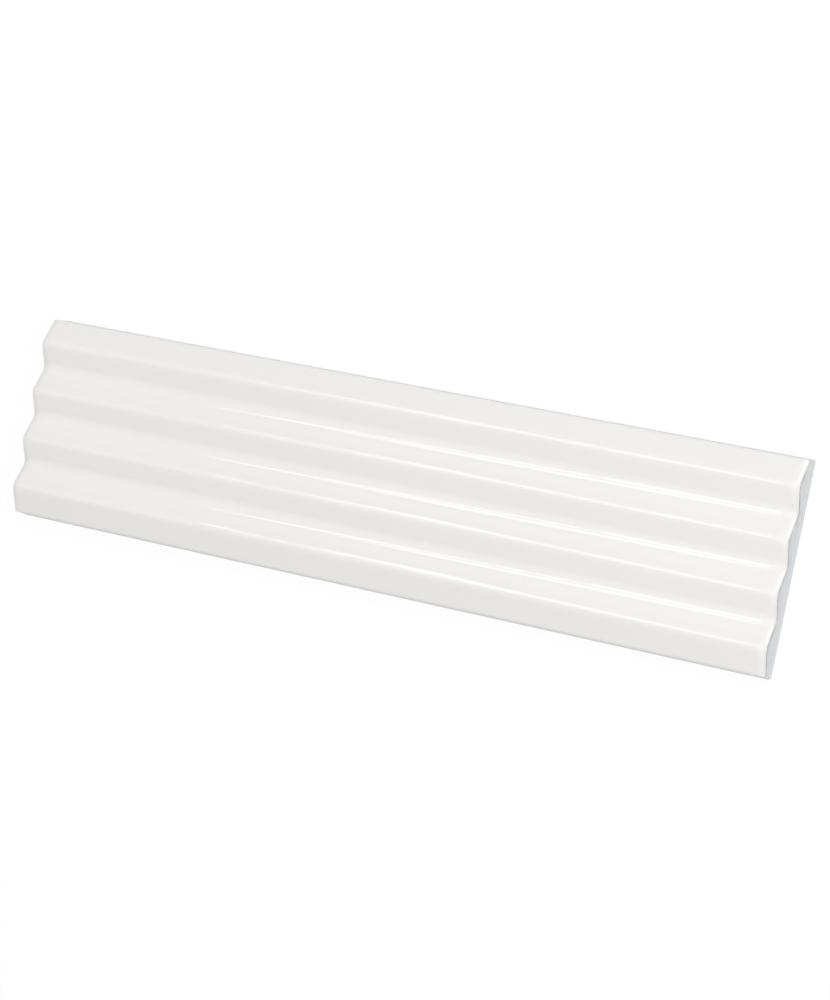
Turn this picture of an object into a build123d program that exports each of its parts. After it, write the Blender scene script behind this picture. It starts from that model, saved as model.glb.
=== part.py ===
"""Ceramic wall tile with a face of smooth lengthwise waves, formed and fired as one piece.

The tile lies on its back. The origin is the centre of the back face, X runs along the waves,
Y across them, and Z from the back to the glazed face.
"""

import os
from math import cos, radians, tan

from build123d import *

# Overall sizes, in millimetres
LENGTH = 200.0  # along the waves
WIDTH = 50.0  # across the waves, at the back
THICKNESS = 8.8  # from the back to the top of a wave

# Waves of the glazed face
WAVE_PITCH = 12.1  # from one crest to the next
FLANK_ANGLE = 30.0  # degrees, slope of the straight stretch between a crest and a valley
CREST_RADIUS = 1.5
VALLEY_RADIUS = 3.7

# Edges of the body
SIDE_DRAFT = 5.0  # degrees, how far the long sides lean in towards the face
END_RIM_RADIUS = 1.2  # where the waves turn over into the ends
SIDE_RIM_RADIUS = 0.5  # where the outer waves turn over into the long sides, and at the upright corners
BACK_EDGE_RADIUS = 0.3  # where the sides and ends meet the back

# Shallow keys in the back, which hold the adhesive
KEY_LENGTH = 21.0
KEY_WIDTH = 6.0
KEY_DEPTH = 0.7
KEY_DRAFT = 25.0  # degrees, slope of a key's walls
KEY_RIB = 2.5  # land left between two keys
BACK_BORDER = 4.0  # least plain land around the keys


def wave_section() -> Sketch:
    """Section across the tile: a zigzag rounded at its crests and valleys, over the flat back."""
    rise = tan(radians(FLANK_ANGLE))
    lean = tan(radians(SIDE_DRAFT))
    crest_apex = THICKNESS + CREST_RADIUS * (1 / cos(radians(FLANK_ANGLE)) - 1)
    valley_apex = crest_apex - rise * WAVE_PITCH / 2
    waves = max(1, round(WIDTH / WAVE_PITCH))
    outer_crest = (waves - 1) * WAVE_PITCH / 2

    # The outer flank runs straight down until it meets the leaning side
    foot = WIDTH / 2
    rim = (foot - lean * (crest_apex + rise * outer_crest)) / (1 - lean * rise)
    rim_height = (foot - rim) / lean

    outline = [(-foot, 0), (-rim, rim_height)]
    radii = [0, 0]
    for wave in range(waves):
        crest = wave * WAVE_PITCH - outer_crest
        if wave:
            outline.append((crest - WAVE_PITCH / 2, valley_apex))
            radii.append(VALLEY_RADIUS)
        outline.append((crest, crest_apex))
        radii.append(CREST_RADIUS)
    outline += [(rim, rim_height), (foot, 0)]
    radii += [0, 0]
    return make_face(Plane.YZ * FilletPolyline(*outline, radius=radii, close=True))


def back_keys() -> list[Part]:
    """The shallow keys as cutters, in as many rows and columns as the back has room for."""
    step_x = KEY_LENGTH + KEY_RIB
    step_y = KEY_WIDTH + KEY_RIB
    columns = int((LENGTH - 2 * BACK_BORDER + KEY_RIB) // step_x)
    rows = int((WIDTH - 2 * BACK_BORDER + KEY_RIB) // step_y)
    key = extrude(Rectangle(KEY_LENGTH, KEY_WIDTH), KEY_DEPTH, taper=KEY_DRAFT)
    return GridLocations(step_x, step_y, columns, rows) * key


def tile() -> Part:
    """The whole tile: the section along its length, with rounded edges and a keyed back."""
    body = extrude(wave_section(), LENGTH / 2, both=True)

    # The rim of an end rolls over inside the crests, so it is never rounder than they are
    face = body.faces().filter_by(lambda surface: surface.normal_at().Z > 0.5)
    ends = body.faces().filter_by(Axis.X)
    body = fillet(face.edges() & ends.edges(), min(END_RIM_RADIUS, 0.9 * CREST_RADIUS))

    # One rounding runs up each corner, over the rim of the end and along the long side
    sides = body.faces().filter_by(lambda surface: abs(surface.normal_at().Y) > 0.9)
    body = fillet(sides.edges() - sides.edges().group_by(Axis.Z)[0], SIDE_RIM_RADIUS)
    body = fillet(body.edges().group_by(Axis.Z)[0], BACK_EDGE_RADIUS)
    return body - back_keys()


os.makedirs("parts", exist_ok=True)
export_step(tile(), "parts/tile.step")
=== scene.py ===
"""Looks of the wave wall tile: gloss white glaze, bare biscuit edges and a keyed back, in a white studio.

Lengths are in metres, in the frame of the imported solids: X runs along the waves, Y across them and
Z from the back to the glazed face. The origin is the centre of the back.
"""

import logging
import math
from dataclasses import dataclass, fields
from enum import Enum
from typing import Any, Mapping, Optional, Union

import bpy
from mathutils import Matrix, Vector


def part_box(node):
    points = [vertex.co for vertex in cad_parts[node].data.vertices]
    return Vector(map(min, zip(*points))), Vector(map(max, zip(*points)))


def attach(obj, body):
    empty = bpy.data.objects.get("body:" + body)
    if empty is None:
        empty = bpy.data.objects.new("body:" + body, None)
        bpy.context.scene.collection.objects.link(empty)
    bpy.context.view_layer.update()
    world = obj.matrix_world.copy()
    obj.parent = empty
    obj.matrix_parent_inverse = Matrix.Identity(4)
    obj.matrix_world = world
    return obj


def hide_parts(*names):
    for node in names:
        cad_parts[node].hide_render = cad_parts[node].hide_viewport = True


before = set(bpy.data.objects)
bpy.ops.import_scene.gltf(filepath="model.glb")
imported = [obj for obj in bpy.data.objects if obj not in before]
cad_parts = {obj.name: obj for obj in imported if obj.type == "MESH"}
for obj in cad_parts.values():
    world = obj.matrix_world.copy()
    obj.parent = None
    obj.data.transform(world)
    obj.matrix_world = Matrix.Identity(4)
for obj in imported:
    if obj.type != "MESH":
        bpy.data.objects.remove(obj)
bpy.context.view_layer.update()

MM = 0.001
QUARTER_TURN = math.pi / 2
LOG = logging.getLogger("wave_tile")

Number = Union["Field", float]
Colour = tuple[float, float, float]
WHITE: Colour = (1.0, 1.0, 1.0)


def srgb(red: float, green: float, blue: float) -> Colour:
    """Turns a colour as a screen shows it into linear light.

    Args:
        red: Red from 0 to 255.
        green: Green from 0 to 255.
        blue: Blue from 0 to 255.

    Returns:
        The three linear values, from 0 to 1.
    """
    shares = (red / 255, green / 255, blue / 255)
    # The standard screen curve: straight near black, then a power
    return tuple(s / 12.92 if s < 0.04045 else ((s + 0.055) / 1.055) ** 2.4 for s in shares)


class Field:
    """A number that a node tree works out at every point. Arithmetic on it adds math nodes."""

    def __init__(self, graph: "Graph", socket: bpy.types.NodeSocket) -> None:
        """Keeps the graph and the socket that puts the number out."""
        self.graph = graph
        self.socket = socket

    def __add__(self, other: Number) -> "Field":
        """Sum."""
        return self.graph.math("ADD", self, other)

    def __radd__(self, other: float) -> "Field":
        """Sum with a plain number on the left."""
        return self.graph.math("ADD", other, self)

    def __sub__(self, other: Number) -> "Field":
        """Difference."""
        return self.graph.math("SUBTRACT", self, other)

    def __rsub__(self, other: float) -> "Field":
        """Difference from a plain number on the left."""
        return self.graph.math("SUBTRACT", other, self)

    def __mul__(self, other: Number) -> "Field":
        """Product."""
        return self.graph.math("MULTIPLY", self, other)

    def __rmul__(self, other: float) -> "Field":
        """Product with a plain number on the left."""
        return self.graph.math("MULTIPLY", other, self)

    def __truediv__(self, other: Number) -> "Field":
        """Quotient."""
        return self.graph.math("DIVIDE", self, other)

    def __rtruediv__(self, other: float) -> "Field":
        """Quotient of a plain number by this one."""
        return self.graph.math("DIVIDE", other, self)

    def __abs__(self) -> "Field":
        """Size without the sign."""
        return self.graph.math("ABSOLUTE", self)


class Graph:
    """Adds nodes to a geometry or shader tree, with their links and constants in one call."""

    def __init__(self, tree: bpy.types.NodeTree) -> None:
        """Takes the tree that the nodes go into."""
        self.tree = tree

    def node(self, kind: str, feeds: Optional[Mapping[Any, Any]] = None, **settings: Any) -> bpy.types.Node:
        """Adds a node.

        Args:
            kind: The node's type name.
            feeds: What goes into each input, by the socket's name, identifier or index.
            **settings: Properties set on the node before its inputs.

        Returns:
            The new node.
        """
        node = self.tree.nodes.new(kind)
        for name, value in settings.items():
            setattr(node, name, value)
        for key, value in (feeds or {}).items():
            self.feed(self.socket(node.inputs, key), value)
        return node

    @staticmethod
    def socket(sockets: Any, key: Union[str, int]) -> bpy.types.NodeSocket:
        """Finds a socket by index, identifier or name.

        Args:
            sockets: A node's inputs or outputs.
            key: Index, identifier or name.

        Returns:
            The socket.
        """
        if isinstance(key, int):
            return sockets[key]
        by_identifier = [s for s in sockets if s.identifier == key]
        return by_identifier[0] if by_identifier else sockets[key]

    def feed(self, socket: bpy.types.NodeSocket, value: Any) -> None:
        """Links a field or an output to a socket, or sets a constant on it.

        Args:
            socket: The input to feed.
            value: A Field, an output socket or a constant. A constant colour has three values.
        """
        if isinstance(value, Field):
            value = value.socket
        if isinstance(value, bpy.types.NodeSocket):
            self.tree.links.new(value, socket)
        elif socket.type == "RGBA":
            socket.default_value = (*value, 1.0)
        else:
            socket.default_value = value

    def out(self, kind: str, feeds: Optional[Mapping[Any, Any]] = None, pick: Union[str, int] = 0,
            **settings: Any) -> bpy.types.NodeSocket:
        """Adds a node and gives one of its outputs.

        Args:
            kind: The node's type name.
            feeds: What goes into each input.
            pick: Index, identifier or name of the output.
            **settings: Properties set on the node.

        Returns:
            The output socket.
        """
        return self.socket(self.node(kind, feeds, **settings).outputs, pick)

    def value(self, kind: str, feeds: Optional[Mapping[Any, Any]] = None, pick: Union[str, int] = 0,
              **settings: Any) -> Field:
        """Adds a node and gives one of its outputs as a number to reckon with.

        Args:
            kind: The node's type name.
            feeds: What goes into each input.
            pick: Index, identifier or name of the output.
            **settings: Properties set on the node.

        Returns:
            The output as a Field.
        """
        return Field(self, self.out(kind, feeds, pick, **settings))

    def math(self, operation: str, *terms: Number) -> Field:
        """Adds a math node.

        Args:
            operation: Name of the operation.
            *terms: Its numbers.

        Returns:
            The result.
        """
        return self.value("ShaderNodeMath", dict(enumerate(terms)), operation=operation)

    def clamp(self, value: Number, low: Number, high: Number) -> Field:
        """Keeps a value between two limits."""
        return self.math("MINIMUM", self.math("MAXIMUM", value, low), high)

    def blend(self, share: Number, first: Any, second: Any) -> bpy.types.NodeSocket:
        """Adds a node that blends two colours.

        Args:
            share: Share of the second colour, from 0 to 1.
            first: A Colour or an output socket.
            second: A Colour or an output socket.

        Returns:
            The blended colour.
        """
        feeds = {"Factor_Float": share, "A_Color": first, "B_Color": second}
        return self.out("ShaderNodeMix", feeds, pick="Result_Color", data_type="RGBA")

    def noise(self, spot: bpy.types.NodeSocket, seed: Any, scale: Any, detail: float,
              roughness: float) -> Field:
        """Adds soft noise.

        Args:
            spot: Where the noise is read.
            seed: Which noise it is.
            scale: How fine it is.
            detail: How many finer layers it has.
            roughness: How strong the finer layers are.

        Returns:
            The noise, from 0 to 1.
        """
        feeds = {"Vector": spot, "W": seed, "Scale": scale, "Detail": detail, "Roughness": roughness}
        return self.value("ShaderNodeTexNoise", feeds, noise_dimensions="4D")

    def inputs_from(self, sizes: Any) -> dict[str, Field]:
        """Gives the tree one named input for each field of a dataclass.

        Args:
            sizes: The dataclass instance.

        Returns:
            The inputs as Fields, by the name of the dataclass field.
        """
        for item in fields(sizes):
            kind = "NodeSocketInt" if isinstance(getattr(sizes, item.name), int) else "NodeSocketFloat"
            self.tree.interface.new_socket(item.name, in_out="INPUT", socket_type=kind)
        source = self.node("NodeGroupInput")
        return {item.name: Field(self, source.outputs[item.name]) for item in fields(sizes)}


class Surface(Enum):
    """The two surfaces of the fired tile."""

    GLAZE = "gloss_glaze"
    BISCUIT = "bare_biscuit"


class FiredClay:
    """Shader group with the unevenness that firing leaves: soft clouds, fine grain and pores."""

    NAME = "fired_clay"
    INPUTS = ("Cloud scale", "Grain scale", "Pore scale", "Seed")
    OUTPUTS = ("Clouds", "Grain", "Pores")
    MIDDLE = 0.5
    CLOUD_DETAIL = 3.0
    CLOUD_ROUGHNESS = 0.55
    GRAIN_DETAIL = 4.0
    GRAIN_ROUGHNESS = 0.6
    PORE_SHARPNESS = 4.0

    @classmethod
    def add(cls, graph: Graph, clouds: float, grain: float, pores: float, seed: float) -> dict[str, Field]:
        """Adds the group to a material.

        Args:
            graph: The material's tree.
            clouds: Scale of the clouds.
            grain: Scale of the grain.
            pores: Scale of the pores.
            seed: Which clouds, grain and pores they are.

        Returns:
            Clouds, Grain and Pores, each from 0 to 1.
        """
        feeds = dict(zip(cls.INPUTS, (clouds, grain, pores, seed)))
        node = graph.node("ShaderNodeGroup", feeds, node_tree=cls.group())
        return {name: Field(graph, node.outputs[name]) for name in cls.OUTPUTS}

    @classmethod
    def group(cls) -> bpy.types.NodeTree:
        """Builds the group once.

        Returns:
            The shader group, with the outputs Clouds, Grain and Pores, each from 0 to 1.
        """
        if cls.NAME in bpy.data.node_groups:
            return bpy.data.node_groups[cls.NAME]
        tree = bpy.data.node_groups.new(cls.NAME, "ShaderNodeTree")
        for name in cls.INPUTS:
            tree.interface.new_socket(name, in_out="INPUT", socket_type="NodeSocketFloat")
        for name in cls.OUTPUTS:
            tree.interface.new_socket(name, in_out="OUTPUT", socket_type="NodeSocketFloat")
        graph = Graph(tree)
        given = graph.node("NodeGroupInput").outputs
        spot = graph.out("ShaderNodeTexCoord", pick="Object")
        clouds = graph.noise(spot, given["Seed"], given["Cloud scale"], cls.CLOUD_DETAIL, cls.CLOUD_ROUGHNESS)
        grain = graph.noise(spot, given["Seed"], given["Grain scale"], cls.GRAIN_DETAIL, cls.GRAIN_ROUGHNESS)
        cells = graph.value("ShaderNodeTexVoronoi", {
            "Vector": spot, "W": given["Seed"], "Scale": given["Pore scale"],
        }, voronoi_dimensions="4D")
        pores = 1 - graph.clamp(cells * cls.PORE_SHARPNESS, 0.0, 1.0)
        graph.node("NodeGroupOutput", {"Clouds": clouds, "Grain": grain, "Pores": pores})
        return tree


@dataclass(frozen=True)
class GlazeFinish:
    """White gloss glaze: a bright coat that thins on the end rims and crest tips and pools in the valleys;
    the darker valley bottoms and crest tips are also painted shade.
    """

    colour: Colour = srgb(241, 239, 236)
    pooled_and_shaded: Colour = srgb(237, 235, 231)
    thin: Colour = srgb(230, 231, 231)
    cloud_share: float = 0.4
    pool_and_shade_share: float = 0.8
    roughness: float = 0.03
    roughness_spread: float = 0.02
    ior: float = 1.6
    bump_strength: float = 0.06
    bump_depth: float = 0.2 * MM
    cloud_scale: float = 38.0
    grain_scale: float = 420.0
    seed: float = 3.0

    def material(self) -> bpy.types.Material:
        """Builds the glaze.

        Returns:
            The material.
        """
        material = bpy.data.materials.new(Surface.GLAZE.value)
        material.use_nodes = True
        graph = Graph(material.node_tree)
        clay = FiredClay.add(graph, self.cloud_scale, self.grain_scale, self.grain_scale, self.seed)
        # Darker, warmer glaze at the valley bottoms: pooled glaze and painted valley shade.
        pool_and_valley_shade = graph.value("ShaderNodeAttribute", pick="Fac", attribute_name=WaveTile.POOL_AND_SHADE)
        clouds_pool_and_shade = graph.clamp(clay["Clouds"] * self.cloud_share + pool_and_valley_shade * self.pool_and_shade_share, 0.0, 1.0)
        body = graph.blend(clouds_pool_and_shade, self.colour, self.pooled_and_shaded)
        # Greyer glaze where it thins on the end rims, and on the crest tips partly thin glaze and partly
        # painted shade.
        thinness = graph.value("ShaderNodeAttribute", pick="Fac", attribute_name=WaveTile.THINNESS_AND_TIP_SHADE)
        uneven = clay["Clouds"] - FiredClay.MIDDLE
        bump = graph.out("ShaderNodeBump", {
            "Height": clay["Clouds"], "Strength": self.bump_strength, "Distance": self.bump_depth,
        })
        shader = material.node_tree.nodes["Principled BSDF"]
        graph.feed(shader.inputs["Base Color"], graph.blend(thinness, body, self.thin))
        graph.feed(shader.inputs["Roughness"], self.roughness + uneven * self.roughness_spread)
        graph.feed(shader.inputs["IOR"], self.ior)
        graph.feed(shader.inputs["Normal"], bump)
        return material


@dataclass(frozen=True)
class BiscuitFinish:
    """Bare fired clay: cool pale grey, dull, softly mottled and finely pitted, darker up the end walls, with
    a painted shadow under the glaze lip.
    """

    colour: Colour = srgb(230, 233, 235)
    dusky: Colour = srgb(206, 209, 211)
    pore: Colour = srgb(180, 182, 184)
    shaded: Colour = srgb(150, 154, 158)
    rise_patch_share: float = 0.7
    rise_least_darkening: float = 0.25
    plain_foot: float = 0.08
    pore_share: float = 0.4
    shade_share: float = 1.2
    shade_least: float = 0.1
    roughness: float = 0.9
    bump_strength: float = 0.5
    bump_depth: float = 0.05 * MM
    patch_low: float = 0.35
    patch_high: float = 0.65
    cloud_scale: float = 380.0
    grain_scale: float = 2600.0
    pore_scale: float = 900.0
    seed: float = 8.0

    def material(self) -> bpy.types.Material:
        """Builds the bare clay.

        Returns:
            The material.
        """
        material = bpy.data.materials.new(Surface.BISCUIT.value)
        material.use_nodes = True
        graph = Graph(material.node_tree)
        clay = FiredClay.add(graph, self.cloud_scale, self.grain_scale, self.pore_scale, self.seed)
        patches = graph.value("ShaderNodeMapRange", {
            "Value": clay["Clouds"], "From Min": self.patch_low, "From Max": self.patch_high,
        })
        # The end walls darken in patches from just above the foot up to the glaze.
        rise = graph.value("ShaderNodeAttribute", pick="Fac", attribute_name=WaveTile.WALL_RISE)
        above_foot = graph.clamp(rise - self.plain_foot, 0.0, 1.0)
        darker_up_wall = (patches * self.rise_patch_share + self.rise_least_darkening) * above_foot
        body = graph.blend(darker_up_wall, self.colour, self.dusky)
        pitted = graph.blend(clay["Pores"] * self.pore_share, body, self.pore)
        # Painted shadow under the glaze lip on the end walls, ragged and strongest in the valleys.
        under_lip = graph.value("ShaderNodeAttribute", pick="Fac", attribute_name=WaveTile.LIP_SHADE)
        shade = graph.clamp(under_lip * (patches * self.shade_share + self.shade_least), 0.0, 1.0)
        bump = graph.out("ShaderNodeBump", {
            "Height": clay["Grain"] - clay["Pores"],
            "Strength": self.bump_strength, "Distance": self.bump_depth,
        })
        shader = material.node_tree.nodes["Principled BSDF"]
        graph.feed(shader.inputs["Base Color"], graph.blend(shade, pitted, self.shaded))
        graph.feed(shader.inputs["Roughness"], self.roughness)
        graph.feed(shader.inputs["Normal"], bump)
        return material


@dataclass(frozen=True)
class WaveTile:
    """The tile, one fired piece: waved glazed face, bare sides and ends, keyed back."""

    length: float
    width: float
    thickness: float
    waves: int = 4
    wave_pitch: float = 12.1 * MM
    flank_slope: float = math.tan(math.radians(30.0))
    crest_radius: float = 1.2 * MM
    shoulder_radius: float = 9.0 * MM
    shoulder_tilt: float = math.radians(22.5)
    valley_radius: float = 3.7 * MM
    end_crest_radius: float = 2.4 * MM
    end_valley_radius: float = 2.0 * MM
    end_fade: float = 3.0 * MM
    side_lean: float = math.tan(math.radians(5.0))
    corner_radius: float = 0.5 * MM
    end_rim_run: float = 2.2 * MM
    end_rim_drop: float = 0.9 * MM
    side_rim_radius: float = 0.5 * MM
    back_edge_radius: float = 0.3 * MM
    lip_height: float = 0.15 * MM
    lip_overhang: float = 0.1 * MM
    lip_wander: float = 1.4 * MM
    ripple: float = 0.04 * MM
    tip_depth: float = 0.15 * MM
    tip_thinness: float = 0.3
    key_length: float = 21.0 * MM
    key_width: float = 6.0 * MM
    key_depth: float = 0.7 * MM
    key_slope: float = math.tan(math.radians(25.0))
    key_rib: float = 2.5 * MM
    key_corner: float = 0.8 * MM
    key_columns: int = 8
    key_rows: int = 5
    columns: int = 160
    rows: int = 320
    end_crowding: float = 0.35
    seed: int = 5

    NODE = "tile"
    SLOT = "glazed_body"
    PIECE = "wave_tile"
    THINNESS_AND_TIP_SHADE = "glaze_thinness"
    POOL_AND_SHADE = "glaze_pool"
    LIP_SHADE = "lip_shade"
    WALL_RISE = "wall_rise"

    # Rings of the grid from the back up to the face
    BACK_STEPS = 3
    WALL_STEPS = 10
    LIP_STEPS = 4
    RIM_STEPS = 10
    EDGE_STEPS = BACK_STEPS + WALL_STEPS + LIP_STEPS + RIM_STEPS
    GLAZE_START = BACK_STEPS + WALL_STEPS

    # Joining and shading of the mesh
    WELD = 0.003 * MM
    CREASE = math.radians(48)
    OPEN_EDGE = 1.5  # an edge with fewer faces than this is open
    KEY_CORNER_STEPS = 3

    # How unevenly the glaze ran down the walls and over the face
    PULL_SCALE = 260.0
    PULL_DETAIL = 2.0
    PULL_LEAST = 0.35
    RIPPLE_SCALE = 90.0
    RIPPLE_DETAIL = 1.0
    RIPPLE_SEED_STEP = 7
    RUN_ROUGHNESS = 0.5

    # How steeply each tint and painted shade comes in, and where it starts
    POOL_AND_SHADE_GAIN = 3.2
    POOL_AND_SHADE_START = 1.44
    POOL_AND_SHADE_EDGE_GAIN = 4
    LINE_GAIN = 6
    LINE_START = 5
    LINE_LEAST = 0.5
    RIM_GAIN = 2

    @classmethod
    def from_frame(cls) -> "WaveTile":
        """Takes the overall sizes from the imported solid.

        Returns:
            The tile at the solid's size.
        """
        low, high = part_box(cls.NODE)
        return cls(2 * min(high[0], -low[0]), 2 * min(high[1], -low[1]), high[2])

    def build(self, glaze: bpy.types.Material, biscuit: bpy.types.Material) -> bpy.types.Object:
        """Grows the tile's mesh by its rule and turns it into a plain mesh.

        Args:
            glaze: Material of the face and rim.
            biscuit: Material of the sides, ends and back.

        Returns:
            The finished piece, at the origin.
        """
        tree = bpy.data.node_groups.new(self.PIECE, "GeometryNodeTree")
        self._grow(Graph(tree))
        piece = bpy.data.objects.new(self.PIECE, bpy.data.meshes.new(self.PIECE))
        bpy.context.scene.collection.objects.link(piece)
        modifier = piece.modifiers.new(self.PIECE, "NODES")
        modifier.node_group = tree
        given = {item.name: getattr(self, item.name) for item in fields(self)}
        given |= {Surface.GLAZE.value: glaze, Surface.BISCUIT.value: biscuit}
        for item in tree.interface.items_tree:
            if item.item_type == "SOCKET" and item.in_out == "INPUT" and item.name in given:
                modifier[item.identifier] = given[item.name]
        evaluated = piece.evaluated_get(bpy.context.evaluated_depsgraph_get())
        mesh = bpy.data.meshes.new_from_object(evaluated)
        piece.modifiers.clear()
        piece.data = mesh
        return piece

    def dress(self, piece: bpy.types.Object) -> None:
        """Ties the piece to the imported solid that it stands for.

        Args:
            piece: The finished piece.
        """
        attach(piece, "root")
        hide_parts(self.NODE)

    def _grow(self, graph: Graph) -> None:
        """Builds the geometry tree.

        Args:
            graph: The empty geometry tree.
        """
        size = graph.inputs_from(self)
        for surface in Surface:
            graph.tree.interface.new_socket(surface.value, in_out="INPUT", socket_type="NodeSocketMaterial")
        graph.tree.interface.new_socket("Tile", in_out="OUTPUT", socket_type="NodeSocketGeometry")
        finishes = graph.node("NodeGroupInput").outputs

        skin, ring = self._skin(graph, size)
        back = self._back(graph, size, skin)
        whole = graph.node("GeometryNodeJoinGeometry")
        for part in (skin, back):
            graph.feed(whole.inputs[0], part)
        welded = graph.out("GeometryNodeMergeByDistance", {
            "Geometry": whole.outputs[0], "Distance": self.WELD,
        })
        smooth = graph.out("GeometryNodeSetShadeSmooth", {
            "Geometry": welded, "Shade Smooth": True,
        }, domain="FACE")
        angle = graph.value("GeometryNodeInputMeshEdgeAngle", pick="Unsigned Angle")
        sharp = graph.math("GREATER_THAN", angle, self.CREASE)
        creased = graph.out("GeometryNodeSetShadeSmooth", {
            "Geometry": smooth, "Selection": sharp, "Shade Smooth": False,
        }, domain="EDGE")
        real = graph.out("GeometryNodeRealizeInstances", {"Geometry": creased})
        bare = graph.out("GeometryNodeSetMaterial", {
            "Geometry": real, "Material": finishes[Surface.BISCUIT.value],
        })
        coated = graph.math("GREATER_THAN", ring, self.GLAZE_START)
        glazed = graph.out("GeometryNodeSetMaterial", {
            "Geometry": bare, "Selection": coated, "Material": finishes[Surface.GLAZE.value],
        })
        graph.node("NodeGroupOutput", {"Tile": glazed})

    def _skin(self, graph: Graph, size: Mapping[str, Field]) -> tuple[bpy.types.NodeSocket, Field]:
        """Lays a grid over the face, the rim, the walls and the back edge.

        The grid's outer rings turn down over the rim and the walls to the back, and its inner cells
        cover the face.

        Args:
            graph: The geometry tree.
            size: The tree's inputs.

        Returns:
            The skin, open at the back, and each point's ring, counted from the back.
        """
        edge = self.EDGE_STEPS
        cells_x, cells_y = size["columns"] + 2 * edge, size["rows"] + 2 * edge
        grid = graph.out("GeometryNodeMeshGrid", {
            "Size X": cells_x, "Size Y": cells_y, "Vertices X": cells_x + 1, "Vertices Y": cells_y + 1,
        })
        step = graph.node("ShaderNodeSeparateXYZ", {0: graph.out("GeometryNodeInputPosition")}).outputs
        step_x, step_y = Field(graph, step["X"]), Field(graph, step["Y"])
        past_end = graph.math("MAXIMUM", abs(step_x) - size["columns"] / 2, 0.0)
        past_side = graph.math("MAXIMUM", abs(step_y) - size["rows"] / 2, 0.0)
        outer = graph.math("MAXIMUM", past_end, past_side)
        ring = edge - outer

        # How far each ring has come along the back edge, wall, glaze lip and rim
        start = 0
        share: list[Field] = []
        for steps in (self.BACK_STEPS, self.WALL_STEPS, self.LIP_STEPS, self.RIM_STEPS):
            share.append(graph.clamp((ring - start) / steps, 0.0, 1.0))
            start += steps
        back, wall_step, lip, rim = share
        wall = wall_step * (2 - wall_step)
        back_turn, lip_turn, rim_turn = back * QUARTER_TURN, lip * QUARTER_TURN, rim * QUARTER_TURN
        in_bare = (size["back_edge_radius"] * (1 - graph.math("SINE", back_turn))
                   + size["lip_overhang"] * (wall - graph.math("SINE", lip_turn)))
        rolled = 1 - graph.math("COSINE", rim_turn)
        in_end = in_bare + size["end_rim_run"] * rolled
        in_side = in_bare + size["side_rim_radius"] * rolled
        corner = size["corner_radius"] * graph.math("COSINE", rim_turn)

        # Rings are rectangles with round corners: the corner's share of the turn fans out from the diagonal
        inner = graph.math("MINIMUM", past_end, past_side)
        fan = inner / graph.math("MAXIMUM", outer, 1.0) * (QUARTER_TURN / 2)
        at_end = 1 - graph.math("LESS_THAN", past_end, past_side)
        major, minor = graph.math("COSINE", fan), graph.math("SINE", fan)
        turn_x = at_end * major + (1 - at_end) * minor
        turn_y = at_end * minor + (1 - at_end) * major
        drop = size["side_rim_radius"] + (size["end_rim_drop"] - size["side_rim_radius"]) * turn_x * turn_x

        def rise(face: Number, fall: Number, lip_height: Number) -> Field:
            """Height of a ring above the back.

            Args:
                face: Height of the face above the ring.
                fall: How far the rim falls from the face.
                lip_height: Height of the glaze lip.

            Returns:
                The height.
            """
            foot = size["back_edge_radius"]
            return (
                foot * (1 - graph.math("COSINE", back_turn))
                + (face - fall - lip_height - foot) * wall
                + lip_height * lip
                + fall * graph.math("SINE", rim_turn)
            )

        # The rim of the long sides, where the outer flank meets the leaning side
        slope, lean = size["flank_slope"], size["side_lean"]
        apex = size["thickness"] + self._crest_gap(graph, size, size["crest_radius"], 0.0)
        outer_crest = (size["waves"] - 1) * size["wave_pitch"] / 2
        foot_y = size["width"] / 2 + lean * size["back_edge_radius"]
        rim_y = (foot_y - lean * (apex + slope * outer_crest)) / (1 - lean * slope)
        rim_height = (foot_y - rim_y) / lean
        leaning = lean * (rim_height - rise(rim_height, size["side_rim_radius"], size["lip_height"]))

        along = graph.clamp(step_x / (size["columns"] / 2), -1.0, 1.0)
        crowded = along * (1 + size["end_crowding"] * (1 - along * along))
        x = (crowded * (size["length"] / 2 - in_end - corner)
             + graph.math("SIGN", step_x) * turn_x * corner)
        y = (graph.clamp(step_y / (size["rows"] / 2), -1.0, 1.0) * (rim_y + leaning - in_side - corner)
             + graph.math("SIGN", step_y) * turn_y * corner)

        # The glaze runs unevenly over the face and down the walls
        plan = graph.out("ShaderNodeCombineXYZ", {"X": x, "Y": y})
        pull = graph.noise(plan, size["seed"], self.PULL_SCALE, self.PULL_DETAIL, self.RUN_ROUGHNESS)
        ripple = graph.noise(plan, size["seed"] + self.RIPPLE_SEED_STEP, self.RIPPLE_SCALE,
                             self.RIPPLE_DETAIL, self.RUN_ROUGHNESS)
        lip_height = size["lip_height"] + size["lip_wander"] * graph.clamp(pull - self.PULL_LEAST, 0.0, 1.0)
        fade = graph.clamp((abs(x) - size["length"] / 2) / size["end_fade"] + 1, 0.0, 1.0)
        near_end = fade * fade * (3 - fade * 2)
        face = self._wave_height(graph, size, y, apex, near_end)
        z = rise(face, drop, lip_height) - size["ripple"] * ripple * rim

        kept = graph.node("GeometryNodeCaptureAttribute", {"Geometry": grid}, domain="POINT")
        kept.capture_items.new("FLOAT", "Ring")
        graph.feed(kept.inputs["Ring"], ring)
        named = kept.outputs["Geometry"]
        on_end = turn_x * turn_x * (1 - lip)
        in_valley = graph.clamp((size["thickness"] - face) / (size["wave_pitch"] * slope / 2), 0.0, 1.0)
        inside = graph.clamp((outer_crest - abs(y)) * self.POOL_AND_SHADE_EDGE_GAIN / size["wave_pitch"], 0.0, 1.0)
        # Valley bottoms between the outer crests: pooled glaze and painted valley shade.
        pool_and_valley_shade = graph.clamp(in_valley * self.POOL_AND_SHADE_GAIN - self.POOL_AND_SHADE_START, 0.0, 1.0) * inside
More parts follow.
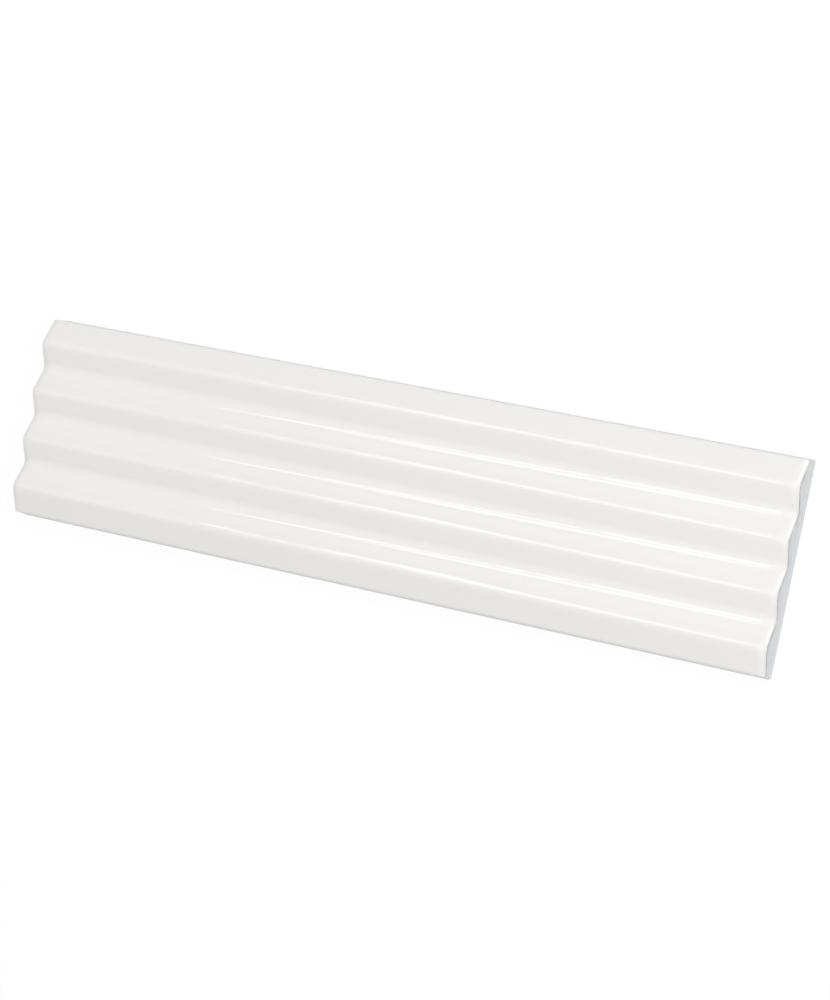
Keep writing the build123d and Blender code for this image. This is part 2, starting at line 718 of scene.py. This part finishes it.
        # Painted shadow under the glaze lip, stronger in the valleys.
        line = graph.clamp(wall * self.LINE_GAIN - self.LINE_START, 0.0, 1.0) * (self.LINE_LEAST + in_valley)
        # Thin glaze on the outer half of the end rims; on the crest tips partly thin glaze, partly painted
        # shade over their lit ridge.
        on_tip = graph.clamp(1 - (size["thickness"] - face) / size["tip_depth"], 0.0, 1.0)
        on_rim = graph.clamp(1 - rim * self.RIM_GAIN, 0.0, 1.0) * turn_x * turn_x
        thinness = graph.math("MAXIMUM", on_rim, on_tip * size["tip_thinness"])
        tints_and_painted_shade = {
            self.THINNESS_AND_TIP_SHADE: thinness, self.POOL_AND_SHADE: pool_and_valley_shade,
            self.LIP_SHADE: line * on_end, self.WALL_RISE: wall * on_end,
        }
        for name, value in tints_and_painted_shade.items():
            named = graph.out("GeometryNodeStoreNamedAttribute", {
                "Geometry": named, "Name": name, "Value": value,
            }, data_type="FLOAT", domain="POINT")
        skin = graph.out("GeometryNodeSetPosition", {
            "Geometry": named, "Position": graph.out("ShaderNodeCombineXYZ", {"X": x, "Y": y, "Z": z}),
        })
        return skin, Field(graph, kept.outputs["Ring"])

    def _wave_height(self, graph: Graph, size: Mapping[str, Field], across: Field, apex: Field,
                     near_end: Field) -> Field:
        """Height of the face above the back: straight flanks, rounded at crests and in valleys.

        Towards the ends the glaze has drawn back, which leaves the crests rounder and the valleys sharper.

        Args:
            graph: The geometry tree.
            size: The tree's inputs.
            across: Place across the waves.
            apex: Height at which two flanks would meet over a crest.
            near_end: 0 along the tile and 1 at its ends.

        Returns:
            The height.
        """
        slope, pitch, half = size["flank_slope"], size["wave_pitch"], size["waves"] / 2
        secant = graph.math("SQRT", slope * slope + 1)
        place = across / pitch + half
        crest = graph.clamp(graph.math("FLOOR", place), 0.0, size["waves"] - 1) + 0.5
        valley = graph.clamp(graph.math("ROUND", place), 1.0, size["waves"] - 1)

        from_crest = abs(place - crest) * pitch
        crest_radius = size["crest_radius"] + (size["end_crest_radius"] - size["crest_radius"]) * near_end
        radius = size["valley_radius"] + (size["end_valley_radius"] - size["valley_radius"]) * near_end
        near = graph.math("MINIMUM", abs(place - valley) * pitch, radius * slope / secant)
        filled = radius * secant - near * slope - graph.math("SQRT", radius * radius - near * near)
        return apex - from_crest * slope - self._crest_gap(graph, size, crest_radius, from_crest) + filled

    @staticmethod
    def _crest_gap(graph: Graph, size: Mapping[str, Field], radius: Field, off: Number) -> Field:
        """Gap between the sharp corner of two flanks and the crest: a tight tip and softer shoulders.

        Args:
            graph: The geometry tree.
            size: The tree's inputs.
            radius: Radius of the tip.
            off: Distance from the middle of the crest.

        Returns:
            The gap, which is nothing from the foot of the shoulder on.
        """
        slope, wide = size["flank_slope"], size["shoulder_radius"]
        secant = graph.math("SQRT", slope * slope + 1)
        sine, cosine = graph.math("SINE", size["shoulder_tilt"]), graph.math("COSINE", size["shoulder_tilt"])
        tip = radius * sine
        foot = tip + wide * (slope / secant - sine)
        near = graph.math("MINIMUM", off, foot)
        on_tip = graph.math("MINIMUM", off, tip)
        reach = wide * sine + near - on_tip
        drop = (radius - graph.math("SQRT", radius * radius - on_tip * on_tip)
                + wide * cosine - graph.math("SQRT", wide * wide - reach * reach))
        whole = slope * foot - radius * (1 - cosine) - wide * (cosine - 1.0 / secant)
        return whole - slope * near + drop

    def _back(self, graph: Graph, size: Mapping[str, Field],
              skin: bpy.types.NodeSocket) -> bpy.types.NodeSocket:
        """Closes the back with its land and the shallow keys in it.

        Args:
            graph: The geometry tree.
            size: The tree's inputs.
            skin: The skin, open at the back.

        Returns:
            The back, facing down.
        """
        faces_there = graph.value("GeometryNodeInputMeshEdgeNeighbors")
        border = graph.out("GeometryNodeMeshToCurve", {
            "Mesh": skin, "Selection": graph.math("LESS_THAN", faces_there, self.OPEN_EDGE),
        })
        rectangle = graph.out("GeometryNodeCurvePrimitiveQuadrilateral", {
            "Width": size["key_length"], "Height": size["key_width"],
        }, mode="RECTANGLE")
        outline = graph.out("GeometryNodeFilletCurve", {
            "Curve": rectangle, "Radius": size["key_corner"], "Count": self.KEY_CORNER_STEPS,
        }, mode="POLY")
        places = graph.out("GeometryNodeMeshGrid", {
            "Size X": (size["key_length"] + size["key_rib"]) * (size["key_columns"] - 1),
            "Size Y": (size["key_width"] + size["key_rib"]) * (size["key_rows"] - 1),
            "Vertices X": size["key_columns"], "Vertices Y": size["key_rows"],
        })
        outlines = graph.out("GeometryNodeInstanceOnPoints", {"Points": places, "Instance": outline})
        edges = graph.node("GeometryNodeJoinGeometry")
        for curve in (border, graph.out("GeometryNodeRealizeInstances", {"Geometry": outlines})):
            graph.feed(edges.inputs[0], curve)
        land = graph.out("GeometryNodeFillCurve", {"Curve": edges.outputs[0]}, mode="TRIANGLES")

        lid = graph.out("GeometryNodeFillCurve", {"Curve": outline}, mode="NGONS")
        inward = graph.out("ShaderNodeCombineXYZ", {"Z": 1.0})
        sunk = graph.node("GeometryNodeExtrudeMesh", {
            "Mesh": lid, "Offset": inward, "Offset Scale": size["key_depth"],
        }, mode="FACES")
        drawn_in = 2 * size["key_depth"] * size["key_slope"]
        shrink = graph.out("ShaderNodeCombineXYZ", {
            "X": 1 - drawn_in / size["key_length"], "Y": 1 - drawn_in / size["key_width"], "Z": 1.0,
        })
        floor_spot = graph.out("ShaderNodeVectorMath", {
            0: graph.out("GeometryNodeInputPosition"), 1: shrink,
        }, operation="MULTIPLY")
        tray = graph.out("GeometryNodeSetPosition", {
            "Geometry": sunk.outputs["Mesh"], "Selection": sunk.outputs["Top"], "Position": floor_spot,
        })
        trays = graph.out("GeometryNodeInstanceOnPoints", {"Points": places, "Instance": tray})
        back = graph.node("GeometryNodeJoinGeometry")
        for part in (land, graph.out("GeometryNodeRealizeInstances", {"Geometry": trays})):
            graph.feed(back.inputs[0], part)
        return graph.out("GeometryNodeFlipFaces", {"Mesh": back.outputs[0]})


class Shows(Enum):
    """Where a lamp's light shows on the tile."""

    EVERYWHERE = "everywhere"
    IN_GLOSS = "in gloss"
    ON_MATT = "on matt"


@dataclass(frozen=True)
class Lamp:
    """A flat rectangular lamp that faces the tile, given by the two ends of its middle line."""

    name: str
    start: tuple[float, float, float]
    end: tuple[float, float, float]
    breadth: float
    glow: float
    shows: Shows = Shows.EVERYWHERE

    def hang(self) -> None:
        """Hangs the lamp, turned towards the tile."""
        start, end = Vector(self.start), Vector(self.end)
        along = end - start
        data = bpy.data.lights.new(self.name, "AREA")
        data.shape = "RECTANGLE"
        data.size, data.size_y = along.length, self.breadth
        data.energy = self.glow * math.pi * data.size * data.size_y
        middle = (start + end) / 2
        side = middle.cross(along).normalized()
        out = along.cross(side).normalized()
        lamp = bpy.data.objects.new(self.name, data)
        place = Matrix((along.normalized(), side, out)).transposed().to_4x4()
        place.translation = middle
        lamp.matrix_world = place
        lamp.visible_camera = False
        lamp.visible_diffuse = self.shows is not Shows.IN_GLOSS
        lamp.visible_glossy = self.shows is not Shows.ON_MATT
        bpy.context.scene.collection.objects.link(lamp)


@dataclass(frozen=True)
class Studio:
    """White floor, soft light and the camera of the photograph."""

    floor_size: float = 6.0
    floor_drop: float = 0.02 * MM
    floor_grey: Colour = (0.7, 0.7, 0.7)
    floor_white_share: float = 0.93
    target: tuple[float, float, float] = (5.57 * MM, -1.65 * MM, 0.0)
    azimuth: float = math.radians(-0.23)
    elevation: float = math.radians(65.02)
    roll: float = math.radians(78.14)
    distance: float = 663.7 * MM
    lens: float = 101.04
    sensor: float = 36.0
    nearest: float = 0.01
    farthest: float = 50.0
    horizon_glow: float = 0.35
    top_glow: float = 0.495
    front_glow: float = 0.05
    end_glow: float = 0.1
    back_shade: float = 0.35
    lamps: tuple[Lamp, ...] = (
        Lamp("upper_pane", (-0.127, 0.282, 0.6), (-0.44, 0.678, 0.6), 0.095, 2.9),
        Lamp("side_gap", (-0.185, 0.124, 0.6), (-0.45, 0.51, 0.6), 0.018, 7.0),
        Lamp("side_gap_tail", (-0.45, 0.51, 0.6), (-0.53, 0.627, 0.6), 0.018, 4.6),
        Lamp("lower_pane", (-0.178, 0.085, 0.6), (-0.092, 0.085, 0.6), 0.16, 2.2),
        Lamp("end_softbox", (0.45, -0.15, 0.38), (0.45, 0.2, 0.38), 0.3, 2.5, Shows.ON_MATT),
        Lamp("high_window", (-0.1, 0.6, 0.8), (0.4, 0.6, 0.8), 0.3, 3.2, Shows.ON_MATT),
        Lamp("rim_card", (0.42, 0.8, 0.5), (0.8, 0.65, 0.22), 0.3, 2.8, Shows.IN_GLOSS),
    )

    def camera(self) -> None:
        """Places the camera above the bare end, rolled as in the photograph."""
        data = bpy.data.cameras.new("camera")
        data.lens, data.sensor_width = self.lens, self.sensor
        data.clip_start, data.clip_end = self.nearest, self.farthest
        flat = math.cos(self.elevation)
        outward = Vector((
            flat * math.cos(self.azimuth), flat * math.sin(self.azimuth), math.sin(self.elevation),
        ))
        level = outward.cross(Vector((0, 0, -1))).normalized()
        steep = outward.cross(level)
        right = level * math.cos(self.roll) - steep * math.sin(self.roll)
        up = outward.cross(right)
        camera = bpy.data.objects.new("camera", data)
        place = Matrix((right, up, outward)).transposed().to_4x4()
        place.translation = Vector(self.target) + outward * self.distance
        camera.matrix_world = place
        bpy.context.scene.collection.objects.link(camera)
        bpy.context.scene.camera = camera

    def floor(self) -> None:
        """Lays a floor that looks nearly white, keeps a faint shadow and gives back light as a grey one."""
        half = self.floor_size / 2
        corners = [(-half, -half, 0), (half, -half, 0), (half, half, 0), (-half, half, 0)]
        mesh = bpy.data.meshes.new("floor")
        mesh.from_pydata([(x, y, z - self.floor_drop) for x, y, z in corners], [], [(0, 1, 2, 3)])
        floor = bpy.data.objects.new("floor", mesh)
        bpy.context.scene.collection.objects.link(floor)
        material = bpy.data.materials.new("white_floor")
        material.use_nodes = True
        graph = Graph(material.node_tree)
        material.node_tree.nodes.clear()
        white = graph.out("ShaderNodeEmission", {"Color": WHITE, "Strength": 1.0})
        path = graph.node("ShaderNodeLightPath").outputs
        seen = (Field(graph, path["Is Camera Ray"]) + Field(graph, path["Is Glossy Ray"])
                + Field(graph, path["Is Transmission Ray"]))
        shown = graph.clamp(seen, 0.0, 1.0)
        shade = graph.blend(shown, self.floor_grey, WHITE)
        matt = graph.out("ShaderNodeBsdfDiffuse", {"Color": shade})
        mixed = graph.out("ShaderNodeMixShader", {0: shown * self.floor_white_share, 1: matt, 2: white})
        graph.node("ShaderNodeOutputMaterial", {"Surface": mixed})
        mesh.materials.append(material)

    def light(self) -> None:
        """Hangs the lamps and sets the pale surroundings, brighter overhead than at the horizon."""
        world = bpy.data.worlds.new("surroundings")
        bpy.context.scene.world = world
        world.use_nodes = True
        graph = Graph(world.node_tree)
        direction = graph.out("ShaderNodeTexCoord", pick="Generated")
        way = graph.node("ShaderNodeSeparateXYZ", {0: direction}).outputs
        to_end = graph.math("MAXIMUM", Field(graph, way["X"]), 0.0)
        to_front = graph.math("MAXIMUM", Field(graph, way["Y"]) * -1.0, 0.0)
        to_back = graph.math("MAXIMUM", Field(graph, way["Y"]), 0.0)
        up = graph.math("MAXIMUM", Field(graph, way["Z"]), 0.0)
        glow = (self.horizon_glow + self.top_glow * up + self.front_glow * to_front + self.end_glow * to_end
                - self.back_shade * to_back * (1 - up) * (1 - up))
        seen = Field(graph, graph.out("ShaderNodeLightPath", pick="Is Camera Ray"))
        strength = seen + (1 - seen) * glow
        background = world.node_tree.nodes["Background"].inputs
        graph.feed(background["Color"], WHITE)
        graph.feed(background["Strength"], strength)
        for lamp in self.lamps:
            lamp.hang()


def main() -> None:
    """Builds the tile and the studio around it."""
    logging.basicConfig(level=logging.INFO, format="%(name)s: %(message)s")
    bpy.context.scene.view_settings.view_transform = "Standard"
    tile = WaveTile.from_frame()
    piece = tile.build(GlazeFinish().material(), BiscuitFinish().material())
    tile.dress(piece)
    LOG.info("%s: %d faces", piece.name, len(piece.data.polygons))
    studio = Studio()
    studio.floor()
    studio.light()
    studio.camera()


if __name__ == "__main__":
    main()
